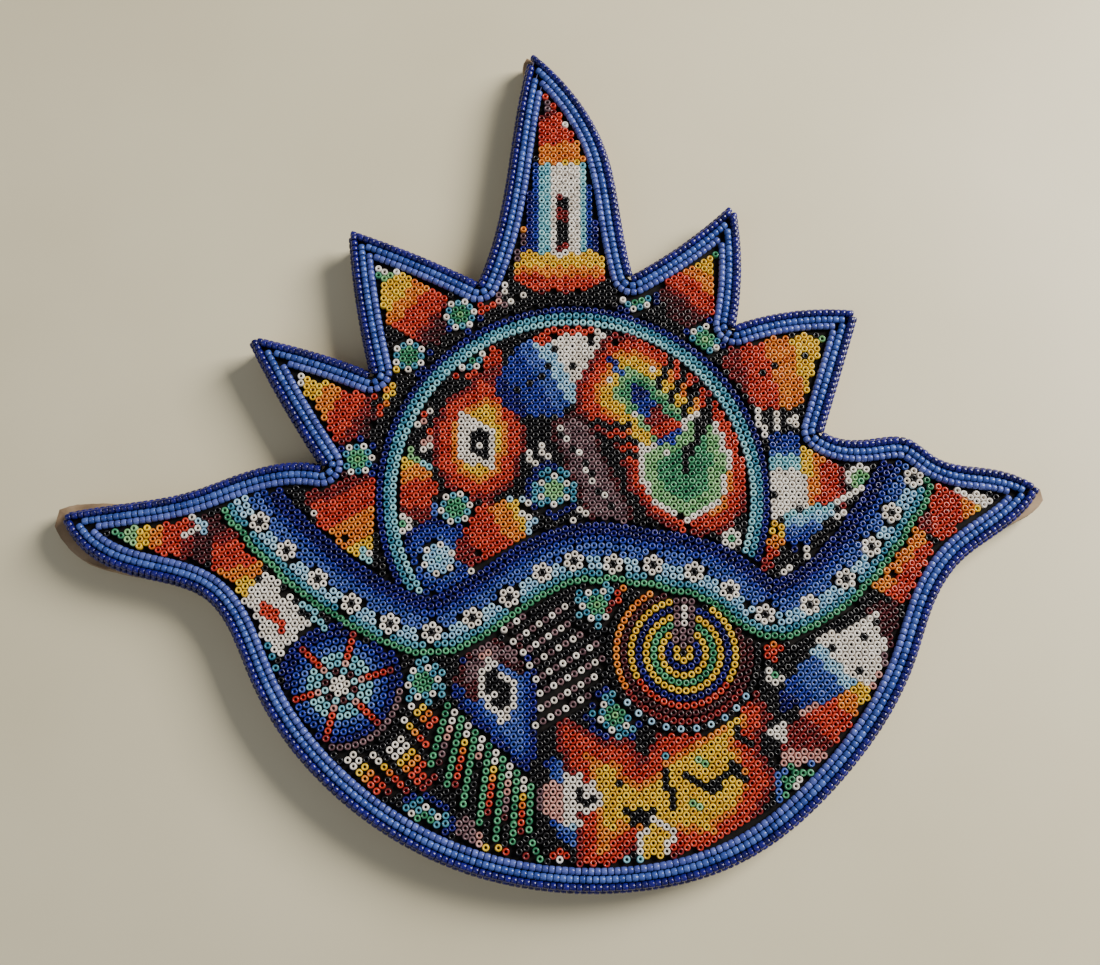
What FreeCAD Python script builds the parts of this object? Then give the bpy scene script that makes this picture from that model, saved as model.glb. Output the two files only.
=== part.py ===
import FreeCAD, Part
import math
import os

os.makedirs("parts", exist_ok=True)

# A flat sun plaque covered in glass seed beads. A wooden board carries a skin of beeswax, and
# every bead is pressed into the wax on its own. Four rows round the rim are strung on thread.
# All sizes are millimetres. The layout is drawn about the middle of the sun disc (x right,
# y towards the top ray), and shifted at the end so that the plaque is centred on the origin.

# ---- driving dimensions ----
BOARD_THICK = 8.0        # sawn wooden board
WAX_THICK = 0.8          # beeswax skin on its face
BEAD_OD = 1.76           # glass seed bead, size 12/0
BEAD_HOLE = 0.8          # through hole
BEAD_LENGTH = 1.4        # length along the hole
BEAD_PITCH = 1.86        # from one standing bead to the next
STRING_PITCH = 1.5       # from one strung bead to the next
SIDE_DROP = 1.75         # how far the side row hangs below the rows on the face
THREAD_DIA = 0.3         # nylon beading thread
RING_RADIUS = 49.5       # outer row of the ring round the sun disc

# ---- worked out from them ----
WAX_TOP = BOARD_THICK + WAX_THICK
STRUNG_Z = WAX_TOP + BEAD_OD / 2
SIDE_Z = STRUNG_Z - SIDE_DROP
SIDE_INSET = 0.35
FACE_INSETS = {"navy": 1.15, "blue": 3.02, "periwinkle": 4.89}
RIM_WIDTH = FACE_INSETS["periwinkle"] + BEAD_OD / 2
BOARD_INSET = SIDE_INSET + BEAD_OD / 2 + 0.05
THREAD_SLACK = (BEAD_HOLE - THREAD_DIA) / 2 - 0.1
CURVE_STEP = 8.0         # spacing of the points that an inset outline is drawn through
MIN_GAP = BEAD_OD + 0.02
ROW = BEAD_PITCH * math.sqrt(3) / 2

# ---- outline of the beaded face, one stretch from each point or valley to the next ----
STRETCHES = [
    [(-11, 127), (-3, 119), (9, 98), (13, 77), (16, 61)],
    [(16, 61), (30, 70), (44, 82)],
    [(44, 82), (45, 72), (43, 47)],
    [(43, 47), (60, 51), (76, 51)],
    [(76, 51), (71, 36), (65, 18)],
    [(65, 18), (79, 16), (87, 16), (94, 11), (107, 8), (120, 3)],
    [(120, 3), (109, -8), (98, -16), (91, -26), (85, -41), (67, -68), (40, -89), (6, -96),
     (-30, -90), (-62, -70), (-80, -46), (-93, -25), (-112, -19), (-131, -4)],
    [(-131, -4), (-113, -1), (-98, 2), (-90, 5), (-65, 9)],
    [(-65, 9), (-76, 26), (-86, 44)],
    [(-86, 44), (-70, 40), (-53, 34)],
    [(-53, 34), (-57, 52), (-60, 74)],
    [(-60, 74), (-42, 67), (-25, 59)],
    [(-25, 59), (-18, 85), (-15, 107), (-11, 127)],
]

# ---- the wave band, given by the row of flowers that runs along its middle ----
WAVE_MIDDLE = [(-87, 3), (-80, -6), (-64.5, -20.5), (-46, -31.5), (-35.5, -34), (-25.5, -30.5),
               (-8, -19), (0, -16), (20, -17), (39.5, -23.5), (48, -29.5), (59.5, -27),
               (75.5, -12.5), (87.5, 5.5), (91, 12)]
WAVE_FLOWERS = [(-80, -6), (-72.8, -13.3), (-64.6, -20.6), (-55.9, -26.8), (-46.1, -31.8),
                (-35.5, -34), (-25.4, -30.4), (-16.2, -25.2), (-7.9, -19), (0.1, -16),
                (10, -16.8), (20.1, -17), (30.5, -18.8), (39.4, -23.4), (48, -29.5),
                (59.3, -27.1), (68.7, -20.6), (75.6, -12.4), (81.3, -3.6), (87.5, 5.5)]
WAVE_ROWS_BELOW = ["sky", "steel", "green"]
WAVE_ROWS_ABOVE = ["blue", "blue", "royal", "navy", "navy"]

# ---- colour runs used again and again ----
WARM = ["white", "yellow", "orange", "red", "red", "dark_red"]
LEAF = ["green", "light_green", "yellow", "yellow", "yellow", "orange", "orange", "red", "red", "red",
        "dark_red", "maroon"]
ROSE = ["white", "pink", "mauve", "maroon"]


# ---------------------------------------------------------------------------------------
# plane geometry
# ---------------------------------------------------------------------------------------

def spline(points):
    """An edge running smoothly through the points."""
    curve = Part.BSplineCurve()
    curve.interpolate([FreeCAD.Vector(x, y, 0) for x, y in points])
    return curve.toShape()


def sampled(points, step):
    """Points evenly spaced along a smooth curve, at least a step apart."""
    edge = spline(points)
    count = max(2, int(edge.Length / step) + 1)
    return [(p.x, p.y) for p in edge.discretize(Number=count)]


def distance_to_line(point, start, end):
    """Distance from a point to the straight stretch from start to end."""
    dx, dy = end[0] - start[0], end[1] - start[1]
    along = ((point[0] - start[0]) * dx + (point[1] - start[1]) * dy) / (dx * dx + dy * dy)
    along = min(1.0, max(0.0, along))
    return math.hypot(point[0] - start[0] - along * dx, point[1] - start[1] - along * dy)


def distance_to_path(point, path):
    return min(distance_to_line(point, a, b) for a, b in zip(path, path[1:]))


def inside(point, outline):
    """True when the point is inside a closed outline."""
    x, y = point
    hit = False
    for (x0, y0), (x1, y1) in zip(outline, outline[1:] + outline[:1]):
        if (y0 > y) != (y1 > y) and x < x0 + (y - y0) * (x1 - x0) / (y1 - y0):
            hit = not hit
    return hit


def side_of(point, path):
    """Signed distance to an open path: positive on its left."""
    best, sign = 1e9, 1
    for a, b in zip(path, path[1:]):
        d = distance_to_line(point, a, b)
        if d < best:
            best = d
            sign = (b[0] - a[0]) * (point[1] - a[1]) - (b[1] - a[1]) * (point[0] - a[0])
    return math.copysign(best, sign)


OUTLINE = Part.Wire([spline(s) for s in STRETCHES])


def inset(distance):
    """The outline moved inwards, with its points kept sharp and its valleys rounded."""
    return OUTLINE.makeOffset2D(-distance, 0, False, False)


# ---------------------------------------------------------------------------------------
# the beads: where each one lies, and the colour of its glass
# ---------------------------------------------------------------------------------------

class Bead:
    """One bead. A heading makes it a strung bead lying along that direction; a bead that is laid
    as part of a motif keeps its colour when a patch is painted over it."""

    def __init__(self, x, y, colour=None, area=None, heading=None, motif=False):
        self.x, self.y = x, y
        self.colour = colour
        self.area = area
        self.heading = heading
        self.motif = motif

    def takes_paint(self, area):
        return self.area == area and not self.motif


class Tray:
    """All the beads laid so far, sorted into squares so that neighbours are found quickly."""

    def __init__(self):
        self.squares = {}
        self.beads = []

    def square(self, x, y):
        return int(math.floor(x / BEAD_PITCH)), int(math.floor(y / BEAD_PITCH))

    def add(self, bead):
        self.beads.append(bead)
        self.squares.setdefault(self.square(bead.x, bead.y), []).append(bead)

    def near(self, x, y):
        """The beads in the square of the point and in the eight squares round it."""
        column, line = self.square(x, y)
        for i in range(column - 1, column + 2):
            for j in range(line - 1, line + 2):
                yield from self.squares.get((i, j), ())

    def room_for(self, x, y, gap=MIN_GAP):
        return all(math.hypot(b.x - x, b.y - y) >= gap for b in self.near(x, y))

    def nearest(self, x, y):
        return min(self.near(x, y), default=None, key=lambda b: math.hypot(b.x - x, b.y - y))


def strung_clash(a, b):
    """True when the footprints of two strung beads overlap."""
    corners = []
    for bead in (a, b):
        c, s = math.cos(bead.heading), math.sin(bead.heading)
        half_l, half_w = BEAD_LENGTH / 2 + 0.02, BEAD_OD / 2 - 0.02
        corners.append([(bead.x + i * half_l * c - j * half_w * s, bead.y + i * half_l * s + j * half_w * c)
                        for i, j in ((1, 1), (1, -1), (-1, -1), (-1, 1))])
    for bead in (a, b):
        for turn in (0, math.pi / 2):
            c, s = math.cos(bead.heading + turn), math.sin(bead.heading + turn)
            first = [x * c + y * s for x, y in corners[0]]
            second = [x * c + y * s for x, y in corners[1]]
            if min(first) >= max(second) or min(second) >= max(first):
                return False
    return True


def string_of_beads(wire):
    """Strung beads along a closed wire, left out where the string turns a sharp corner."""
    window = 4
    count = int(wire.Length * 2 * window / BEAD_LENGTH)
    path = [(p.x, p.y) for p in wire.discretize(Number=count)][:-1]
    row = []
    since = STRING_PITCH
    for i, (x, y) in enumerate(path):
        behind, ahead = path[i - window], path[(i + window) % len(path)]
        since += math.dist((x, y), path[i - 1])
        if since < STRING_PITCH or distance_to_line((x, y), behind, ahead) > THREAD_SLACK:
            continue
        bead = Bead(x, y, heading=math.atan2(ahead[1] - behind[1], ahead[0] - behind[0]))
        if not any(strung_clash(bead, other) for other in row[-4:] + row[:4]):
            row.append(bead)
            since = 0
    return row


def place(tray, x, y, colour, area):
    """One bead of a motif, left out where it would miss its area or touch another bead."""
    if AREAS[area]((x, y)) and tray.room_for(x, y):
        tray.add(Bead(x, y, colour, area, motif=True))


def lay_row(tray, points, colours, area):
    """Standing beads along a curve; the colours repeat."""
    for index, (x, y) in enumerate(sampled(points, BEAD_PITCH)):
        place(tray, x, y, colours[index % len(colours)], area)


def lay_shaded_row(tray, points, colours, area):
    """Standing beads along a curve; the colours are spread once over its length."""
    spots = sampled(points, BEAD_PITCH)
    for index, (x, y) in enumerate(spots):
        place(tray, x, y, colours[index * len(colours) // len(spots)], area)


def lay_flower(tray, middle, colours, area, turn=0.0, petals="white"):
    """A centre bead, a ring of six, and a ring of twelve whose corners are the petals."""
    cx, cy = middle
    heart, inner, between = colours
    spots = [(0, 0, heart)]
    for k in range(6):
        a = turn + k * math.pi / 3
        b = a + math.pi / 3
        ax, ay = BEAD_PITCH * math.cos(a), BEAD_PITCH * math.sin(a)
        bx, by = BEAD_PITCH * math.cos(b), BEAD_PITCH * math.sin(b)
        spots.append((ax, ay, inner))
        spots.append((2 * ax, 2 * ay, petals))
        spots.append((ax + bx, ay + by, between))
    for dx, dy, colour in spots:
        place(tray, cx + dx, cy + dy, colour, area)


def fill(tray, area, box, turn):
    """Close-packed beads over the rest of an area, then nudged apart so that the seams close."""
    belongs = AREAS[area]
    x0, y0, x1, y1 = box
    cx, cy = (x0 + x1) / 2, (y0 + y1) / 2
    c, s = math.cos(turn), math.sin(turn)
    reach = int(math.hypot(x1 - x0, y1 - y0) / 2 / ROW) + 2
    fresh = []
    for j in range(-reach, reach + 1):
        for i in range(-reach, reach + 1):
            u = (i + 0.5 * (j % 2)) * (BEAD_PITCH + 0.01)
            v = j * ROW
            x, y = cx + u * c - v * s, cy + u * s + v * c
            if belongs((x, y)) and tray.room_for(x, y, 0.78 * BEAD_PITCH):
                fresh.append(Bead(x, y, "black", area))
    settle(tray, fresh, belongs)
    keep(tray, fresh)


def plug_gaps(tray, area, box, step=0.3):
    """One more bead in every gap that is wide enough for it, coloured like its neighbour."""
    x0, y0, x1, y1 = box
    for j in range(int((y1 - y0) / step)):
        for i in range(int((x1 - x0) / step)):
            x, y = x0 + i * step, y0 + j * step
            if tray.room_for(x, y) and AREAS[area]((x, y)):
                beside = [b for b in tray.near(x, y) if b.area == area and not b.motif]
                nearest = min(beside, default=None, key=lambda b: math.hypot(b.x - x, b.y - y))
                tray.add(Bead(x, y, nearest.colour if nearest else "black", area))


def keep(tray, fresh):
    """Add the settled beads that found room."""
    for bead in fresh:
        if tray.room_for(bead.x, bead.y):
            tray.add(bead)


def settle(tray, fresh, belongs, rounds=40):
    """Push the fresh beads away from each other and from the beads already fixed."""
    for _ in range(rounds):
        loose = Tray()
        for bead in fresh:
            loose.add(bead)
        moves = []
        for bead in fresh:
            push_x = push_y = 0.0
            for others, share in ((loose, 0.45), (tray, 0.8)):
                for other in others.near(bead.x, bead.y):
                    dx, dy = bead.x - other.x, bead.y - other.y
                    gap = math.hypot(dx, dy)
                    if 0 < gap < BEAD_PITCH:
                        push_x += dx / gap * (BEAD_PITCH - gap) * share
                        push_y += dy / gap * (BEAD_PITCH - gap) * share
            moves.append((push_x, push_y))
        for bead, (push_x, push_y) in zip(fresh, moves):
            if belongs((bead.x + push_x, bead.y + push_y)):
                bead.x += push_x
                bead.y += push_y


# ---- painting: choosing the colours of beads that are already laid ----

def paint_patch(tray, area, outline, colours, start, end):
    """Bands of colour across an outline, from the start point towards the end point."""
    dx, dy = end[0] - start[0], end[1] - start[1]
    length = dx * dx + dy * dy
    for bead in tray.beads:
        if bead.takes_paint(area) and inside((bead.x, bead.y), outline):
            along = ((bead.x - start[0]) * dx + (bead.y - start[1]) * dy) / length
            band = int(min(0.999, max(0.0, along)) * len(colours))
            bead.colour = colours[band]


def paint_nested(tray, area, outline, colours, width=ROW):
    """Bands of colour that follow an outline inwards; the last one fills the middle."""
    loop = outline + outline[:1]
    for bead in tray.beads:
        if bead.takes_paint(area) and inside((bead.x, bead.y), outline):
            band = int(distance_to_path((bead.x, bead.y), loop) / width)
            bead.colour = colours[min(band, len(colours) - 1)]


def paint_rings(tray, area, middle, colours):
    """Rings of colour round a middle bead."""
    for bead in tray.beads:
        if bead.takes_paint(area):
            band = int(math.hypot(bead.x - middle[0], bead.y - middle[1]) / ROW + 0.5)
            if band < len(colours) and colours[band]:
                bead.colour = colours[band]


def paint_line(tray, area, points, colours):
    """One bead's width of colour along straight stretches; the colours are spread over them."""
    total = sum(math.dist(a, b) for a, b in zip(points, points[1:]))
    count = int(total / (BEAD_PITCH / 2)) + 1
    for k in range(count + 1):
        left = total * k / count
        for a, b in zip(points, points[1:]):
            stretch = math.dist(a, b)
            if left <= stretch:
                break
            left -= stretch
        share = min(1.0, left / stretch)
        x, y = a[0] + (b[0] - a[0]) * share, a[1] + (b[1] - a[1]) * share
        bead = tray.nearest(x, y)
        if bead and bead.area == area:
            bead.colour = colours[min(len(colours) - 1, k * len(colours) // (count + 1))]


def paint_dots(tray, area, colour, spots):
    for x, y in spots:
        bead = tray.nearest(x, y)
        if bead and bead.area == area:
            bead.colour = colour


# ---------------------------------------------------------------------------------------
# the areas of the face
# ---------------------------------------------------------------------------------------

WAVE_PATH = sampled(WAVE_MIDDLE, 3.0)
WAVE_TOP = (len(WAVE_ROWS_ABOVE) + 0.6) * ROW
WAVE_BOTTOM = -(len(WAVE_ROWS_BELOW) + 0.6) * ROW
RING_MIDDLE = (0, 1.5)
RING_ROWS = ["navy", "steel", "turquoise"]
RING_INNER = RING_RADIUS - (len(RING_ROWS) - 0.5) * ROW
RING_OUTER = RING_RADIUS + 0.5 * ROW
FIELD_WIRE = inset(RIM_WIDTH + BEAD_OD / 2)
FIELD = [(p.x, p.y) for p in FIELD_WIRE.discretize(Number=500)]
FIELD_BOX = (-126, -92, 116, 122)


def in_field(point):
    return inside(point, FIELD)


def in_wave(point):
    return WAVE_BOTTOM < side_of(point, WAVE_PATH) < WAVE_TOP and in_field(point)


def in_bowl(point):
    return side_of(point, WAVE_PATH) <= WAVE_BOTTOM and in_field(point)


def above_wave(point):
    return side_of(point, WAVE_PATH) >= WAVE_TOP


def in_ring(point):
    return RING_INNER < math.dist(point, RING_MIDDLE) < RING_OUTER and above_wave(point)


def in_disc(point):
    return math.dist(point, RING_MIDDLE) <= RING_INNER and above_wave(point)


def in_rays(point):
    return math.dist(point, RING_MIDDLE) >= RING_OUTER and above_wave(point) and in_field(point)


AREAS = {"rays": in_rays, "disc": in_disc, "bowl": in_bowl, "wave": in_wave, "ring": in_ring}


# ---------------------------------------------------------------------------------------
# the wave and the ring
# ---------------------------------------------------------------------------------------

def lay_wave(tray):
    """Flowers along the middle of the band, and rows of one colour each beside them."""
    for x, y in WAVE_FLOWERS:
        tray.add(Bead(x, y, "black", "wave", motif=True))
        for k in range(6):
            a = k * math.pi / 3 + 0.4
            petal = x + BEAD_PITCH * math.cos(a), y + BEAD_PITCH * math.sin(a)
            tray.add(Bead(*petal, "white", "wave", motif=True))
    rows = [(0, "sky")]
    rows += [(k, colour) for k, colour in enumerate(WAVE_ROWS_ABOVE, 1)]
    rows += [(-k, colour) for k, colour in enumerate(WAVE_ROWS_BELOW, 1)]
    fresh = []
    for k, colour in rows:
        for x, y in sampled(offset_path(WAVE_PATH, k * ROW), BEAD_PITCH + 0.02):
            if in_field((x, y)) and tray.room_for(x, y, 0.8 * BEAD_PITCH):
                fresh.append(Bead(x, y, colour, "wave"))
    settle(tray, fresh, in_wave)
    keep(tray, fresh)


def offset_path(path, shift):
    """An open path moved sideways: a positive shift moves it to its left."""
    moved = []
    for before, here, after in zip(path[:1] + path, path, path[1:] + path[-1:]):
        dx, dy = after[0] - before[0], after[1] - before[1]
        length = math.hypot(dx, dy)
        spot = (here[0] - dy / length * shift, here[1] + dx / length * shift)
        if abs(side_of(spot, path)) > abs(shift) - 0.05:
            moved.append(spot)
    return moved


def lay_ring(tray):
    """Rows of one colour each round the sun disc, down to the wave on both sides."""
    fresh = []
    for k, colour in enumerate(RING_ROWS):
        radius = RING_RADIUS - k * ROW
        count = int(2 * math.pi * radius / (BEAD_PITCH + 0.02))
        for i in range(count):
            a = 2 * math.pi * (i + 0.5 * (k % 2)) / count
            spot = (RING_MIDDLE[0] + radius * math.cos(a), RING_MIDDLE[1] + radius * math.sin(a))
            if in_ring(spot) and tray.room_for(*spot, 0.8 * BEAD_PITCH):
                fresh.append(Bead(*spot, colour, "ring"))
    settle(tray, fresh, in_ring)
    keep(tray, fresh)


# ---------------------------------------------------------------------------------------
# motifs of the rays
# ---------------------------------------------------------------------------------------

def lay_ray_flowers(tray):
    lay_flower(tray, (17, 55), ("light_green", "green", "steel"), "rays", 0.3)
    lay_flower(tray, (-29.7, 49.8), ("light_green", "green", "steel"), "rays", 0.2)
    lay_flower(tray, (-43, 38.4), ("green", "green", "steel"), "rays", 0.5)
    lay_flower(tray, (-55.6, 10.5), ("light_green", "green", "steel"), "rays", 0.1)
    lay_flower(tray, (34.9, 42.8), ("light_green", "green", "steel"), "rays", 0.4)


def paint_rays(tray):
    area = "rays"
    for middle in ((-43, 38.4), (-55.6, 10.5), (34.9, 42.8), (17, 55), (-29.7, 49.8)):
        paint_rings(tray, area, middle, [None, None, None, "navy"])
    paint_top_ray(tray, area)
    # upper left ray and the slanting rows beside it
    paint_patch(tray, area, [(-55, 71), (-50, 69), (-44, 65), (-34, 58), (-32, 48), (-36, 41), (-43, 43),
                             (-52, 48)], LEAF, (-52.5, 62), (-34, 47))
    paint_dots(tray, area, "white", [(-51.3, 65.4), (-49.7, 64.5), (-47.5, 63.7), (-49.6, 62.6),
                                     (-47.5, 61.7)])
    paint_line(tray, area, [(-26, 53.5), (-17.6, 57.5)], ["red", "red", "mauve", "mauve", "white"])
    paint_line(tray, area, [(-25, 50.5), (-14.6, 54.5)], ["red", "red", "pink", "mauve", "white"])
    # left ray
    paint_patch(tray, area, [(-80, 37), (-74, 37), (-66, 34), (-56, 30), (-51, 24), (-52, 17), (-60, 14),
                             (-68, 16)], LEAF, (-76, 33), (-52, 20))
    paint_dots(tray, area, "white", [(-76.5, 33.9), (-75.7, 32), (-73.6, 32), (-74.8, 30.1),
                                     (-72.7, 30.3)])
    paint_line(tray, area, [(-48.3, 33.9), (-52.8, 27.4)], ["yellow", "orange", "red"])
    paint_line(tray, area, [(-46.8, 29.5), (-50.5, 22)], ["yellow", "orange", "red"])
    # petal above the wave at the left
    paint_patch(tray, area, [(-70, 5), (-60, 9), (-51, 6), (-50.5, -8), (-51, -20), (-58, -19),
                             (-66, -6)],
                ["maroon", "dark_red", "red", "red", "orange", "orange", "yellow", "white"], (-66, 6),
                (-54, -18))
    paint_line(tray, area, [(-53, -14), (-52.8, -18.3)], ["turquoise"])
    paint_line(tray, area, [(-73.3, -0.8), (-69, -5.5)], ["white"])
    paint_dots(tray, area, "white", [(-66.3, -3.6)])
    # upper right ray
    paint_patch(tray, area, [(41, 78), (40, 62), (38, 50), (32, 46), (26, 48), (23, 56), (28, 65),
                             (34, 72)],
                LEAF, (39, 69), (26, 54))
    paint_line(tray, area, [(38.6, 74.6), (39.6, 60)], ["green"])
    paint_dots(tray, area, "white", [(34.4, 72), (33, 70.5), (34.9, 70), (33.2, 68.5)])
    # right ray
    paint_patch(tray, area, [(43, 44), (57, 46), (71, 46.5), (67, 37), (62, 27), (59, 24), (48, 23.5),
                             (44, 30), (39, 35)],
                ["light_green", "yellow", "yellow", "orange", "orange", "red", "red", "dark_red"],
                (69, 38), (42, 32))
    paint_dots(tray, area, "black", [(58.4, 43.5), (64.2, 43.8), (61.8, 38.3), (53.3, 35.8),
                                     (50.4, 33.9)])
    for top, bottom in (((47.9, 22.5), (50.2, 16.3)), ((52.5, 22.2), (53.7, 18.2)), ((56.9, 21.4),
                                                                                     (57.1, 19.3))):
        paint_line(tray, area, [top, bottom], ["white"])
    paint_right_of_ring(tray, area)


def paint_top_ray(tray, area):
    paint_patch(tray, area, [(-10, 108), (-5, 112), (1, 110), (5, 106), (6, 91), (-9, 91)],
                ["dark_red", "red", "red", "red", "orange", "orange", "yellow"], (-4, 110), (-1, 91))
    paint_patch(tray, area, [(-12, 93), (6, 93), (8.5, 80), (9, 66), (-14, 66), (-13, 80)],
                ["navy", "royal", "turquoise", "white", "white", "white", "white", "turquoise", "royal",
                 "navy"], (-12.5, 80), (8, 80))
    paint_patch(tray, area, [(-16.5, 69), (-3, 66), (10.5, 69), (9, 60), (3, 55.5), (-9, 55.5),
                             (-15, 60)],
                ["white", "yellow", "yellow", "orange", "red", "red", "dark_red"], (-3, 70), (-3, 54))
    paint_line(tray, area, [(-2.6, 83), (-2.7, 67.4)], ["black", "dark_red", "black", "black",
                                                        "dark_red"])
    paint_line(tray, area, [(-15.3, 74.9), (-15.2, 66.3)], ["mauve"])
    paint_dots(tray, area, "orange", [(-13.4, 75.4)])
    paint_line(tray, area, [(-8, 113), (-4, 110.3)], ["white"])
    paint_line(tray, area, [(-7, 115), (-3, 112.5)], ["red"])
    paint_line(tray, area, [(-9, 110.5), (-5.5, 108.6)], ["mauve"])
    paint_line(tray, area, [(-1.2, 106.4), (2.4, 105.2)], ["white"])
    paint_line(tray, area, [(-1, 108.8), (2, 108)], ["red"])


def paint_right_of_ring(tray, area):
    paint_patch(tray, area, [(50, 17), (62, 17), (62, 8), (51, 8)],
                ["royal", "royal", "blue", "turquoise", "turquoise"], (56, 17), (56, 8))
    paint_patch(tray, area, [(51, 8), (61, 8), (59, -5), (50, -5)], ["white"], (51, 8), (51, -5))
    paint_patch(tray, area, [(59, 14), (65, 16), (71, 8), (70, -2), (60, -2)],
                ["yellow", "orange", "red", "red", "dark_red"], (59, 8), (71, 6))
    paint_patch(tray, area, [(50, -5), (55, -8), (49, -20), (47, -18)],
                ["yellow", "orange", "red", "dark_red"], (53, -7), (48, -19))
    paint_patch(tray, area, [(54, -3), (68, -1), (58, -14), (53, -14)],
                ["turquoise", "sky", "blue", "royal", "navy"], (56, -2), (58, -14))
    paint_dots(tray, area, "black", [(51.7, 0.8), (57.2, -2.1)])
    for row in ([(67.7, -0.3), (71.7, 1.6)], [(68, -4.4), (71.5, -2.6)], [(65.7, -9.6), (67.8, -8.6)]):
        paint_line(tray, area, row, ["white"])
    paint_rings(tray, area, (74, 5.4), ["green", "light_green", "white"])
    paint_line(tray, area, [(58, -13.2), (61.9, -16.5)], ["white", "mauve"])
    paint_line(tray, area, [(52.4, -18.8), (54.5, -18.3)], ["white"])


# ---------------------------------------------------------------------------------------
# motifs of the disc
# ---------------------------------------------------------------------------------------

def lay_disc_flowers(tray):
    lay_flower(tray, (-4.9, 2.3), ("light_green", "light_green", "steel"), "disc", 0.5)
    lay_flower(tray, (-30.1, -2.3), ("green", "green", "steel"), "disc", 0.2)
    lay_flower(tray, (-34.2, -15.5), ("turquoise", "sky", "sky"), "disc", 0.4)
    lay_flower(tray, (-27.4, 38.5), ("green", "green", "steel"), "disc", 0.1)


def paint_disc(tray):
    area = "disc"
    paint_rings(tray, area, (-4.9, 2.3), [None, None, None, "steel", "navy"])
    paint_rings(tray, area, (-30.1, -2.3), [None, None, None, "blue"])
    paint_rings(tray, area, (-34.2, -15.5), [None, None, None, "blue", "royal", "royal", "navy"])
    paint_patch(tray, area, [(-26, 42), (-18, 40), (-18, 33), (-27, 31), (-33, 34), (-30, 36)],
                ["white", "red", "red", "dark_red"], (-27, 39), (-22, 32))
    lit = [(-24, 33.5), (-14, 27.5), (-12, 15), (-15, 3), (-21, -1), (-31, 1), (-37, 10), (-35, 24)]
    paint_nested(tray, area, lit, ["dark_red", "red", "red", "orange", "yellow"])
    paint_patch(tray, area, [(-29.5, 23), (-19.5, 18), (-19.5, 6.5), (-29.5, 11)], ["white"],
                (-29, 22), (-20, 7))
    paint_patch(tray, area, [(-27.3, 19.5), (-21.7, 16.5), (-21.7, 9.5), (-27.3, 12.5)], ["black"],
                (-27, 19), (-22, 9))
    paint_dots(tray, area, "white", [(-24.5, 14.5)])
    paint_fish(tray, area)
    paint_rainbow_beast(tray, area)
    # mauve leaf across the middle
    leaf = [(-6.4, 19.3), (-1, 23.5), (4, 21), (16, -5.7), (12, -9.5), (5.8, -9.6)]
    paint_nested(tray, area, leaf, ["maroon", "mauve"], 1.2)
    paint_dots(tray, area, "white", [(-3.9, 19), (-1.1, 15), (1.3, 11.5), (3.4, 7.8), (5.6, 4.3),
                                     (8.1, 0.6)])
    paint_dots(tray, area, "black", [(-2.5, 16.9), (0.3, 13.2), (2.4, 9.7), (4.4, 6), (6.9, 2.6),
                                     (9.4, -1.3)])
    # small white strokes
    for stroke in ([(-9, 14.2), (-6.7, 10.8)], [(-11.8, 12.4), (-9.7, 9.2)], [(2.3, -3.4), (4.3, -7)],
                   [(-0.3, -4.9), (0.5, -7)], [(-25.1, -17.8), (-26.5, -21.3)], [(-20, -15.2),
                                                                                 (-22, -19)],
                   [(-13, 46), (-21, 43)], [(-36, 31.2), (-39, 26.6)]):
        paint_line(tray, area, stroke, ["white"])
    for stroke in ([(-40.2, 26.3), (-43.2, 20.4)], [(-37.6, 23.6), (-40.3, 17.9)], [(-36.9, 17.4),
                                                                                    (-38.1, 13.4)]):
        paint_line(tray, area, stroke, ["red", "pink", "white"])
    # fire petal, left petal and the clusters over the wave
    paint_patch(tray, area, [(-27, -3.5), (-18, 0), (-10, -1), (-12, -9), (-17, -15), (-25, -17),
                             (-31, -16.5)],
                ["yellow", "orange", "red", "red", "dark_red"], (-11, -3), (-29, -15))
    paint_dots(tray, area, "white", [(-12.8, -1.6), (-13.5, -3.6), (-11.5, -3.4)])
    paint_dots(tray, area, "sky", [(-10.2, -5.5), (-11.2, -7.3), (-12, -9.1), (-15.9, -0.3), (-13.8, 0)])
    paint_patch(tray, area, [(-46, 13), (-39, 11), (-35, 4), (-37, -6), (-46.5, -5)],
                ["yellow", "orange", "red", "red", "dark_red"], (-43, 12), (-41, -6))
    paint_line(tray, area, [(-44.9, 14.5), (-36.5, 7.5)], ["light_green", "light_green", "turquoise"])
    paint_rings(tray, area, (-43.2, -7), ["green", "white"])
    paint_line(tray, area, [(9, -9), (19, -8.5)], ["red", "mauve", "green", "mauve"])
    paint_rings(tray, area, (39.8, -10.2), ["green", "white"])


def paint_fish(tray, area):
    fish = [(-21, 28), (-17, 38), (-10, 44.5), (-3, 47), (9, 47), (8.5, 38), (3, 30), (-3, 21.5),
            (-14, 22)]
    paint_patch(tray, area, fish, ["white", "white", "white", "sky", "blue", "royal", "royal", "navy"],
                (6.5, 41), (-18, 26))
    paint_patch(tray, area, [(-11, 42), (-4, 48), (9, 48), (9, 45.6), (-2, 44), (-8, 40.5)], ["red"],
                (-9, 45), (8, 45))
    paint_dots(tray, area, "black", [(4.7, 43), (-4, 40), (-6.1, 35.3), (-0.4, 35.5), (-8.8, 33.1),
                                     (-11.4, 30.6), (-14.2, 28.4)])


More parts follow.
